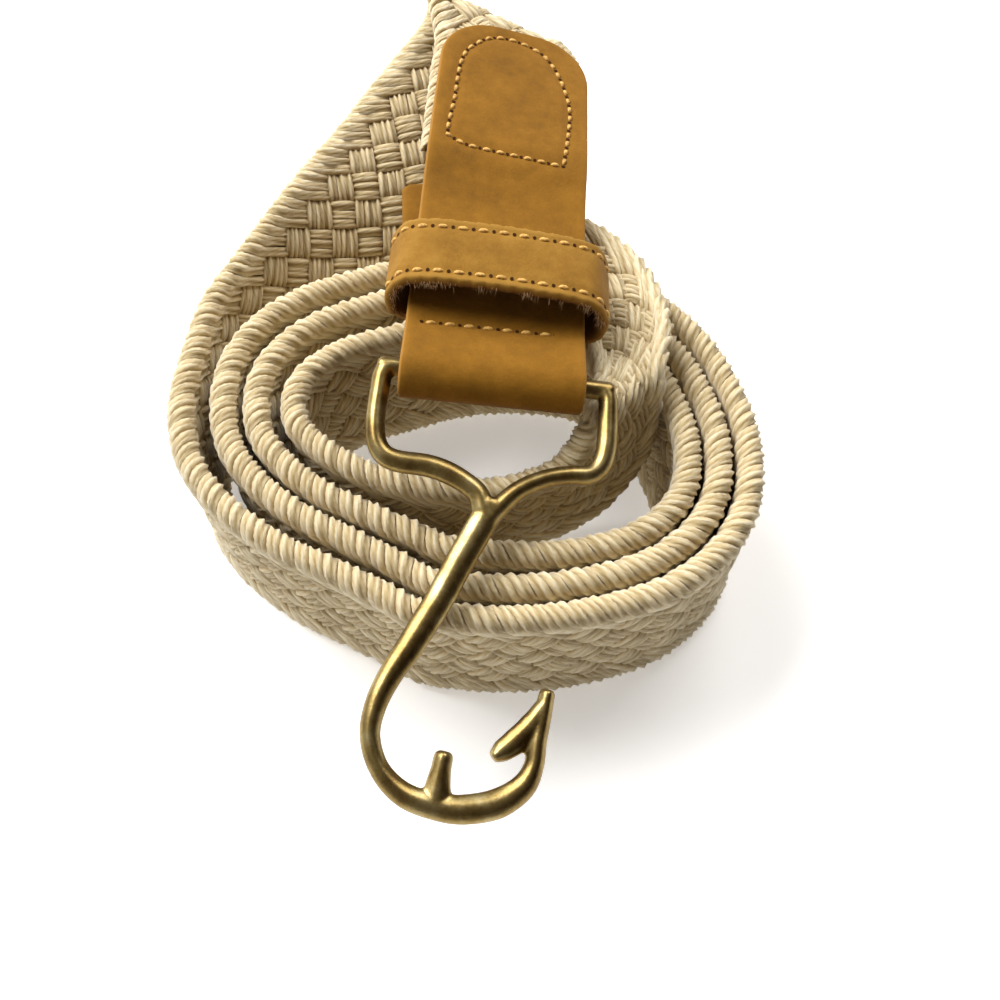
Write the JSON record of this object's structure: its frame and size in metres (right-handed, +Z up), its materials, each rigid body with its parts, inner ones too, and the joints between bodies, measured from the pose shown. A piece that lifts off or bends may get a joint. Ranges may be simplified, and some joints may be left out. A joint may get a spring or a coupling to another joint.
{
  "type": "rope belt",
  "caption": "Flat braided cotton waist belt lying coiled on edge, with a folded leather tab, a leather keeper, a leather end tip and a swinging cast hook buckle.",
  "frame": {"origin": "middle of the belt's box, on the surface it rests on", "axes": "+Z up, -Y towards the hook's bend, +Y towards the fold of the braid behind the tab, +X to the right seen from the hook's end"},
  "size_m": [0.1132, 0.1831, 0.0563],
  "materials": {
    "cotton_braid": "natural twisted cotton cord, plaited flat",
    "tan_leather": "oiled nubuck",
    "light_leather": "oiled nubuck with raw edges",
    "antique_brass": "satin, cast"
  },
  "bodies": {
    "strap": {"braided_band": "cotton_braid", "end_tip": "tan_leather", "leather_tab": "tan_leather", "keeper_loop": "light_leather"},
    "buckle": {"hook_buckle": "antique_brass"}
  },
  "joints": [
    {"name": "buckle_swing", "type": "hinge", "parent": "strap", "child": "buckle", "pos_m": [0.00603, -0.01743, 0.04646], "axis": [-0.9926, 0.0624, 0.1045], "range_deg": [0, 150]}
  ]
}
